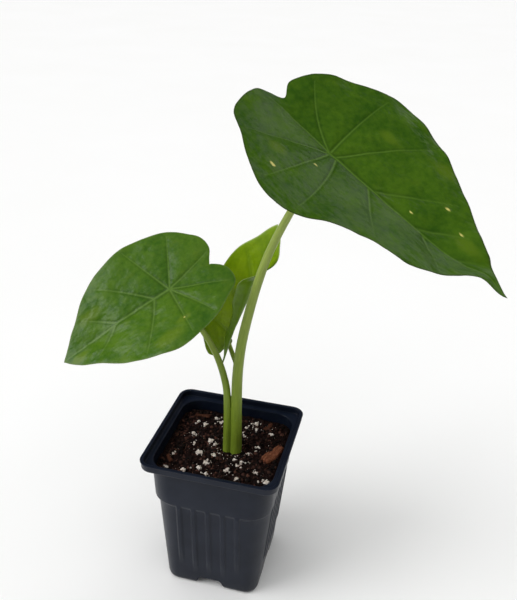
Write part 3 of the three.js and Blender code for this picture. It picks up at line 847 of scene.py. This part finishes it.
def leafAxes(leaf):
    # The leaf's own directions at its joint: to its tip, to its right, and out of its face.
    level = math.cos(leaf["dip"])
    tip = np.array([math.cos(leaf["heading"]) * level, math.sin(leaf["heading"]) * level,
                    -math.sin(leaf["dip"])])
    right = np.array([math.sin(leaf["heading"]), -math.cos(leaf["heading"]), 0])
    turn = -leaf["roll"]
    right = (right * math.cos(turn) + np.cross(tip, right) * math.sin(turn)
             + tip * (tip @ right) * (1 - math.cos(turn)))
    return tip, right, np.cross(right, tip)


def bent(length, start, bend):
    # The end of a length that starts at one angle and bends steadily by another: along and up.
    half = bend / 2
    chord = length * np.sinc(half / math.pi)
    return chord * np.cos(start + half), chord * np.sin(start + half)


def leafPoints(leaf, along, across, lift):
    # Places on the blade from flat leaf coordinates in millimetres. The midrib bends by droop,
    # each half rises from it by the fold and curls by cup, and lift is out of the upper face.
    # The fold rounds over near the midrib, and near its tip the blade swings aside by sway.
    tip, right, face = leafAxes(leaf)
    length = leaf["length"]
    droop = np.where(along > 0, leaf["droop"], leaf["lobeDroop"])
    turn = -(along / length) * droop
    ribAlong, ribUp = bent(along, 0, turn)
    places, cupRight, cupLeft = np.array(leaf["cup"], float).T
    cup = np.where(across > 0, through(places, cupRight, np.clip(along / length, places[0], 1)),
                   through(places, cupLeft, np.clip(along / length, places[0], 1)))
    away = np.abs(across)
    curl = cup * away / length
    outward, upward = bent(away, leaf["fold"], curl)
    soft = leafShape["softness"]
    upward = upward + math.sin(leaf["fold"]) * (np.hypot(away, soft) - away)
    lean = (leaf["fold"] + curl) * np.minimum(away / leafShape["crease"], 1)
    side = (outward - lift * np.sin(lean)) * np.where(across > 0, 1, -1)
    beyond = (along / length - leafShape["swayPlace"]) / leafShape["swayReach"]
    side = side + leaf["sway"] * np.exp(-beyond ** 2)
    up = upward + lift * np.cos(lean)
    return (np.array(leaf["joint"]) + tip * (ribAlong - up * np.sin(turn))[..., None]
            + right * side[..., None] + face * (ribUp + up * np.cos(turn))[..., None])


def veinPaths(leaf):
    # Each vein as points in flat leaf coordinates: it leaves the midrib at its angle, bends
    # steadily towards the tip and stops short of the margin.
    length, stop = leaf["length"], leafShape["veinStop"]
    midrib = np.linspace(-0.02, 0.985, 60) * length
    paths = [np.stack([midrib, 0 * midrib], axis=-1)]
    share = np.linspace(0, 1, 50)
    for start, angle, bend, side in leaf["veins"]:
        turn = math.radians(angle) + bend * share
        way = np.stack([np.cos(turn), np.sin(turn) * side], axis=-1)
        path = np.cumsum(way * length * leafShape["veinStep"], axis=0) + [start * length, 0]
        outline = leaf["right"] if side > 0 else leaf["left"]
        around = np.degrees(np.abs(np.arctan2(path[:, 1], path[:, 0])))
        inside = np.linalg.norm(path, axis=1) < stop * length * through(
            outlineAngles, outline, around)
        end = len(path) if inside.all() else int(np.argmin(inside))
        paths.append(path[:max(end, 2)])
    return paths


def nearPath(points, path):
    # The distance of each point to the nearest stretch of a path, and how far along that is.
    best = np.full(len(points), 1e9)
    share = np.zeros(len(points))
    for index, (a, b) in enumerate(zip(path[:-1], path[1:])):
        way = b - a
        t = np.clip((points - a) @ way / (way @ way), 0, 1)
        away = np.linalg.norm(points - a - t[:, None] * way, axis=1)
        nearer = away < best
        best = np.where(nearer, away, best)
        share = np.where(nearer, (index + t) / (len(path) - 1), share)
    return best, share


def spots(leaf, along, across, level, marks, ragged):
    # How much each place belongs to one of the marks, which are longer along the leaf.
    total = np.zeros(along.shape)
    for place, side, size in marks:
        aside = (across - side * leaf["length"]) * leafShape["spotLength"]
        away = np.hypot(along - place * leaf["length"], aside)
        away = away + ragged * size * noise(level, size * 0.6, 5)
        total = np.maximum(total, easeIn(1.5 - 1.5 * away / size))
    return total


def makeLeaf(name, leaf):
    # One closed skin: out over the upper face from the joint, round the margin, back beneath.
    # Veins are furrows above and ridges below, with the blade swelling a little between them.
    shape = leafShape
    turn = np.linspace(-math.pi, math.pi, shape["columns"], endpoint=False)
    crowd = shape["gather"] * np.exp(-(turn / shape["gatherReach"]) ** 2)
    angle = turn - crowd * np.sin(turn)
    degrees = np.degrees(np.abs(angle))
    outline = np.where(angle > 0, through(outlineAngles, leaf["right"], degrees),
                       through(outlineAngles, leaf["left"], degrees)) * leaf["length"]
    above = np.linspace(0, 1, shape["above"] + 1)[1:]
    beneath = np.linspace(1, 0, shape["beneath"] + 1)[:-1]
    share = np.concatenate([above, beneath])[:, None] + 0 * angle
    upper = np.concatenate([above * 0 + 1, beneath * 0])[:, None] + 0 * angle
    along, across = share * outline * np.cos(angle), share * outline * np.sin(angle)
    flat = np.stack([along, across], axis=-1).reshape(-1, 2)
    vein, furrow = np.zeros(len(flat)), np.zeros(len(flat))
    nearest = np.full(len(flat), 1e9)
    for index, path in enumerate(veinPaths(leaf)):
        away, ahead = nearPath(flat, path)
        strength, width = 1, shape["midribWidth"]
        if index > 0:
            strength, width = shape["sideStrength"], shape["veinWidth"]
        strong = strength * (1 - shape["fading"] * ahead)
        width = width * (1 - shape["thinning"] * ahead)
        vein = np.maximum(vein, strong ** 0.5 * np.exp(-(away / width) ** 2))
        spread = width * shape["furrowSpread"]
        furrow = np.maximum(furrow, strong * np.exp(-(away / spread) ** 2))
        nearest = np.minimum(nearest, away + 4 * ahead)
    vein, furrow, nearest = (part.reshape(along.shape) for part in (vein, furrow, nearest))
    edge = 1 - share
    level = np.stack([along, across, 0 * along + leaf["turn"] * 50], axis=-1)
    swell = 1 - np.exp(-(nearest / shape["swellReach"]) ** 2)
    (wide, rise), (narrow, marginRise) = shape["waves"], shape["marginWaves"]
    wave = noise(level, wide) * rise + noise(level, narrow, 1) * share ** 4 * marginRise
    bulge = leaf["quilt"] * swell * easeIn(edge * 5) + leaf["ripple"] * wave
    for size, height, pick in shape["crinkles"]:
        bulge = bulge + height * noise(level, size, pick)
    half = shape["thickness"] / 2 * np.minimum(1, edge * 18 + 0.25)
    top = bulge + half - shape["furrowDepth"] * furrow + shape["lineHeight"] * vein
    bottom = bulge - half - shape["ridgeHeight"] * vein * easeIn(edge * 8)
    lift = np.where(upper > 0.5, top, bottom)
    points, faces = skin(leafPoints(leaf, along, across, lift))
    flatLeaf = np.stack([skinValues(along), skinValues(across), 0 * skinValues(along)], axis=-1)
    return addMesh(name, points, faces, {
        "vein": skinValues(vein), "furrow": skinValues(furrow), "edge": skinValues(edge),
        "upper": skinValues(upper), "flat": flatLeaf / 1000,
        "fleck": skinValues(spots(leaf, along, across, level, leaf["flecks"], 0.5)),
        "patch": skinValues(spots(leaf, along, across, level, leaf["patches"], 0.35))})


def leafSkin(name, look):
    # A waxy leaf: cloudy greens, thin pale veins with painted shade darkening the furrow beside them, a
    # thin margin.
    finish = Finish(name, Specular_IOR_Level=look["shine"])
    flat = finish.vector("flat")
    vein, furrow, edge = finish.value("vein"), finish.value("furrow"), finish.value("edge")
    cloud = finish.cloud(flat, 30, 4, 0.6)
    fine = finish.cloud(flat, 240, 5, 0.65)
    streaks = finish.cloud(finish.stretched(flat, (1, 1.6, 1)), 80, 5, 0.62)
    colour = finish.shades(cloud * 0.65 + fine * 0.35, (0.38, look["dark"]), (0.6, look["light"]))
    colour = finish.blend(finish.value("patch") * look["yellowing"], colour, look["yellow"])
    colour = finish.blend(finish.between(streaks, 0.5, 0.75) * 0.3, colour, look["yellow"])
    # Painted shade: the furrows beside the veins are darkened towards the shade colour, as if in their own
    # shadow.
    colour = finish.blend((furrow - vein * 0.6) * 0.9, colour, look["shade"])
    colour = finish.blend(vein * look["veining"], colour, look["vein"])
    colour = finish.blend(finish.value("fleck"), colour, (0.62, 0.56, 0.16))
    rim = 1 - finish.between(edge, 0.0, 0.022)
    colour = finish.blend(rim * 0.7, colour, look["rim"])
    under = finish.shades(cloud * 0.6 + fine * 0.4, (0.35, look["back"]), (0.65, look["backLight"]))
    under = finish.blend(vein * 0.7, under, look["backVein"])
    under = finish.blend(rim * 0.8, under, look["rim"])
    colour = finish.blend(finish.value("upper"), under, colour)
    rough = streaks * 0.22 + fine * 0.12 + look["roughness"]
    height = fine * 0.6 + finish.cloud(flat, 900, 3) * 0.4
    bumps = finish.relief(finish.cloud(finish.stretched(flat, (1, 1.5, 1)), 42, 3), 0.002)
    return finish.feed(Base_Color=colour, Roughness=rough,
                       Normal=finish.relief(height, 0.00018, bumps))


# Each leaf's colours; shade is the painted shade colour laid into the furrows beside the veins.
leafColours = {
    "large": {
        "dark": (0.021, 0.068, 0.0015), "light": (0.048, 0.112, 0.003),
        "yellow": (0.075, 0.135, 0.004), "yellowing": 0.7, "shade": (0.008, 0.028, 0.001),
        "vein": (0.085, 0.17, 0.018), "veining": 0.8, "rim": (0.03, 0.05, 0.01),
        "back": (0.06, 0.13, 0.02), "backLight": (0.085, 0.17, 0.03), "backVein": (0.14, 0.24, 0.06),
        "shine": 0.13, "roughness": 0.17,
    },
    "left": {
        "dark": (0.03, 0.095, 0.003), "light": (0.066, 0.145, 0.005),
        "yellow": (0.115, 0.185, 0.008), "yellowing": 0.55, "shade": (0.012, 0.04, 0.002),
        "vein": (0.11, 0.2, 0.03), "veining": 0.7, "rim": (0.13, 0.19, 0.05),
        "back": (0.08, 0.16, 0.03), "backLight": (0.11, 0.2, 0.04), "backVein": (0.17, 0.28, 0.07),
        "shine": 0.25, "roughness": 0.16,
    },
    "young": {
        "dark": (0.14, 0.25, 0.0), "light": (0.21, 0.33, 0.0),
        "yellow": (0.24, 0.36, 0.004), "yellowing": 0.5, "shade": (0.06, 0.13, 0.002),
        "vein": (0.2, 0.33, 0.02), "veining": 0.5, "rim": (0.42, 0.52, 0.2),
        "back": (0.1, 0.19, 0.004), "backLight": (0.14, 0.26, 0.008), "backVein": (0.12, 0.24, 0.03),
        "shine": 0.22, "roughness": 0.2,
    },
}


# Leaf stalks

stalkShape = {
    "rows": 150, "columns": 40,
    "entry": 3,            # length of its straight end, in radii of its top
    "depth": 0.75,         # how far that goes into the raised middle of the blade
    "flare": 0.35, "flareLength": 0.035,
    "ribs": 9, "ribHeight": 0.012, "unevenness": 0.01,
}

stalks = {
    "large": {
        "foot": 4.5, "top": 2.1, "leaf": largeLeaf, "square": 1,
        "route": [(8.2, -0.4, 98), (8.2, -0.4, 113), (8, -0.7, 147), (8.4, -1.2, 177),
                  (10.3, -1.2, 199), (13.8, -0.9, 220), (19.7, -0.2, 247), (27, 0.8, 272),
                  (37.4, 2.4, 297), (50, 4.6, 322)],
    },
    "left": {
        "foot": 3.3, "top": 1.6, "leaf": leftLeaf, "square": 1,
        "route": [(1.9, -1.6, 98), (1.9, -1.6, 113), (1.4, -1.4, 149), (-0.8, 0.6, 165),
                  (-7.2, 2, 184), (-14.4, -2.8, 203.5), (-24.4, -10.4, 224.3)],
    },
    "young": {
        "foot": 3.3, "top": 1.5, "leaf": youngLeaf, "square": 0.1,
        "route": [(8, 6.6, 98), (8, 6.6, 113), (7.6, 6.4, 150), (6.4, 8, 172)],
    },
}


def makeStalk(name, stalk):
    # Round sections carried along a smooth line, flaring a little where they meet the blade:
    # straight into its back where square is 1, along its midrib where square is 0.
    leaf = stalk["leaf"]
    tip, _, face = leafAxes(leaf)
    joint = np.array(leaf["joint"])
    rise = face * leafShape["softness"] * math.sin(leaf["fold"]) * stalkShape["depth"]
    entry = unit(face * stalk["square"] + tip * (1 - stalk["square"]))
    before = joint - entry * stalkShape["entry"] * stalk["top"]
    knots = np.array(stalk["route"] + [tuple(before), tuple(joint + rise)])
    span = np.concatenate([[0], np.cumsum(np.linalg.norm(np.diff(knots, axis=0), axis=1))])
    at = np.linspace(0, span[-1], stalkShape["rows"])
    middle = np.stack([through(span, knots[:, axis], at) for axis in range(3)], axis=-1)
    forward = unit(np.gradient(middle, axis=0))
    side = unit(np.cross(forward, [0.0, 1.0, 0.0]))
    up = np.cross(side, forward)
    share = (at / span[-1])[:, None]
    radius = stalk["foot"] + (stalk["top"] - stalk["foot"]) * share
    end = stalkShape["flareLength"]
    radius = radius * (1 + stalkShape["flare"] * easeIn((share - 1 + end) / end))
    angle = np.linspace(0, 2 * math.pi, stalkShape["columns"], endpoint=False)
    around = np.stack([np.cos(angle) * 4 + 0 * share, np.sin(angle) * 4 + 0 * share,
                       at[:, None] * 0.15 + 0 * angle], axis=-1)
    ridge = 1 + stalkShape["ribHeight"] * np.sin(angle * stalkShape["ribs"])
    ridge = ridge + stalkShape["unevenness"] * noise(around, 1.5)
    grid = (middle[:, None] + (radius * ridge * np.cos(angle))[..., None] * side[:, None]
            + (radius * ridge * np.sin(angle))[..., None] * up[:, None])
    points, faces = skin(grid)
    length = skinValues(at[:, None] + 0 * angle)
    around = np.stack([skinValues(np.cos(angle) * radius), skinValues(np.sin(angle) * radius),
                       length], axis=-1) / 1000
    return addMesh(name, points, faces, {"around": around})


def stalkSkin():
    # Waxy stalk: yellow-green, paler upwards, with fine streaks along it and a few pale dots.
    finish = Finish("stalkSkin", Specular_IOR_Level=0.3)
    around = finish.vector("around")
    height = finish.node("SeparateXYZ", {}, {0: around}, 2)
    rise = finish.between(height, 0.04, 0.26)
    streak = finish.cloud(finish.stretched(around, (1, 1, 0.06)), 1100, 4, 0.6)
    cloud = finish.cloud(around, 120, 3)
    dots = finish.between(finish.cloud(around, 900, 2), 0.7, 0.78)
    foot = finish.shades(streak, (0.3, (0.19, 0.28, 0.022)), (0.7, (0.27, 0.37, 0.035)))
    top = finish.shades(streak, (0.3, (0.27, 0.34, 0.07)), (0.7, (0.36, 0.43, 0.12)))
    colour = finish.blend(rise, foot, top)
    colour = finish.blend(cloud * 0.3, colour, (0.13, 0.2, 0.02))
    colour = finish.blend(dots * 0.4, colour, (0.4, 0.45, 0.2))
    rough = streak * 0.15 + 0.34
    return finish.feed(Base_Color=colour, Roughness=rough, Normal=finish.relief(streak, 0.00012))


def cormSkin():
    # The hidden corm and roots: fibrous brown skin.
    finish = Finish("cormSkin")
    place = finish.place()
    rings = finish.cloud(finish.stretched(place, (1, 1, 5)), 220, 5, 0.65)
    colour = finish.shades(rings, (0.35, (0.1, 0.05, 0.02)), (0.65, (0.28, 0.17, 0.08)))
    return finish.feed(Base_Color=colour, Roughness=rings * 0.2 + 0.65,
                       Normal=finish.relief(rings, 0.0006))


# Stage

stage = {
    "camera": (121.77, -435.76, 463.08), "yaw": -0.227, "pitch": 0.4689, "tilt": 0.0412,
    "lens": 44.71,
    "floorHalf": 30,
    "world": 0.1,
    # Each light's name, direction, spread in degrees, power, and whether it is mirrored.
    "lights": [
        ("skyLight", (-0.1, -0.15, 1), 90, 2.35, False),
        ("sideLight", (-0.9, -0.55, 0.7), 36, 1.3, True),
        ("windowLight", (0.38, 0.75, 0.5), 24, 0.17, True),
    ],
}


def makeCamera(view):
    # A camera at its place, turned by yaw, then down by pitch, then tilted on its own axis.
    yaw, pitch, tilt = view["yaw"], view["pitch"], view["tilt"]
    forward = np.array([math.sin(yaw) * math.cos(pitch), math.cos(yaw) * math.cos(pitch),
                        -math.sin(pitch)])
    right = np.array([math.cos(yaw), -math.sin(yaw), 0])
    up = np.cross(right, forward)
    turned = np.stack([math.cos(tilt) * right + math.sin(tilt) * up,
                       -math.sin(tilt) * right + math.cos(tilt) * up, -forward], axis=1)
    data = bpy.data.cameras.new("camera")
    data.lens = view["lens"]
    data.clip_start, data.clip_end = 0.01, 50
    camera = bpy.data.objects.new("camera", data)
    camera.matrix_world = Matrix.Translation(
        (np.array(view["camera"]) + potBase) / 1000) @ Matrix(turned.tolist()).to_4x4()
    bpy.context.scene.collection.objects.link(camera)
    bpy.context.scene.camera = camera


def makeFloor(half):
    # A plain pale floor at the height of the pot's feet.
    mesh = bpy.data.meshes.new("floor")
    corners = [(-half, -half), (half, -half), (half, half), (-half, half)]
    mesh.from_pydata([(x, y, potBase[2] / 1000) for x, y in corners], [], [(0, 1, 2, 3)])
    floor = bpy.data.objects.new("floor", mesh)
    bpy.context.scene.collection.objects.link(floor)
    finish = Finish("floorPaint", Roughness=0.9)
    shade = finish.shades(finish.cloud(finish.place(), 3, 2), (0.0, (0.91, 0.91, 0.9)),
                          (1.0, (0.94, 0.94, 0.94)))
    mesh.materials.append(finish.feed(Base_Color=shade))


def makeLight(name, toward, spread, power, gloss):
    # A wide, distant light that shines from one direction.
    data = bpy.data.lights.new(name, "SUN")
    data.angle = math.radians(spread)
    data.energy = power
    lamp = bpy.data.objects.new(name, data)
    lamp.visible_glossy = gloss
    away = unit(np.array(toward, float))
    side = unit(np.cross([0.0, 0.0, 1.0], away))
    turned = np.stack([side, np.cross(away, side), away], axis=1)
    lamp.matrix_world = Matrix(turned.tolist()).to_4x4()
    bpy.context.scene.collection.objects.link(lamp)


def makeStage():
    makeCamera(stage)
    makeFloor(stage["floorHalf"])
    world = bpy.data.worlds.new("studio")
    bpy.context.scene.world = world
    world.use_nodes = True
    world.node_tree.nodes["Background"].inputs["Color"].default_value = (1, 1, 1, 1)
    world.node_tree.nodes["Background"].inputs["Strength"].default_value = stage["world"]
    for light in stage["lights"]:
        makeLight(*light)
    bpy.context.scene.view_settings.view_transform = "Standard"


# Building

makeStage()
print("stage ready")

settle(makePot(potShape), potPlastic(), "pot_plastic", "nursery_pot")
print("pot ready")

settle(makeMix(mixShape, potShape), mixEarth(), "mix", "potting_mix")
edge = wallHalves(potShape)[1] - mixShape["room"]
crumbFinish = crumbEarth()
chalk = perliteChalk()

count = mixShape["crumbs"]
sizes = drawn(count, mixShape["crumbSize"], 2)
places = scattered(count, edge, 0.1)
tones = random.uniform(0, 0.85, count) ** 1.3
settle(makeLumps("mixCrumbs", places, sizes, random.uniform(0.35, 0.8, count), tones),
       crumbFinish, "mix")

count = mixShape["whiteCrumbs"]
sizes = drawn(count, mixShape["whiteSize"], 2.2)
places = scattered(count, edge, 0.6)
settle(makeLumps("perliteCrumbs", places, sizes, random.uniform(0.6, 1, count), np.ones(count)),
       chalk, "perlite")

grains = range(1, grainShape["count"] + 1)
middles = np.array([sum(nodeBox(f"perlite_{index}")) / 2 - potBase for index in grains])
places = np.repeat(middles, mixShape["perCluster"], axis=0)
count = len(places)
places[:, :2] += random.normal(scale=mixShape["clusterSpread"], size=(count, 2))
places[:, 2] = mixTop + mixHeight(places) + mixShape["clusterLift"]
sizes = drawn(count, mixShape["clusterSize"], 1.5)
settle(makeLumps("perliteClusters", places, sizes, random.uniform(0.6, 1, count), np.ones(count),
                 5, 9), chalk, "perlite")

settle(makeFibres(mixShape, edge), crumbFinish, "mix")
for index in grains:
    settle(makeGrain(grainShape, index), chalk, "perlite", f"perlite_{index}")
barkFinish = barkWood()
for index in range(1, barkShape["count"] + 1):
    settle(makeBark(barkShape, index), barkFinish, "bark", f"bark_chip_{index}")
print("mix ready")

stalkFinish = stalkSkin()
for key, stalk in stalks.items():
    settle(makeStalk(key + "Stalk", stalk), stalkFinish, "petiole", "petiole_" + key)
print("stalks ready")

for key, leaf, node, slot in (("large", largeLeaf, "blade_large", "blade"),
                              ("left", leftLeaf, "blade_left", "blade"),
                              ("young", youngLeaf, "blade_young", "young_blade")):
    settle(makeLeaf(key + "Blade", leaf), leafSkin(key + "LeafSkin", leafColours[key]), slot, node)
print("leaves ready")

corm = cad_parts["corm_with_roots"]
corm.data.materials.clear()
corm.data.materials.append(cormSkin())
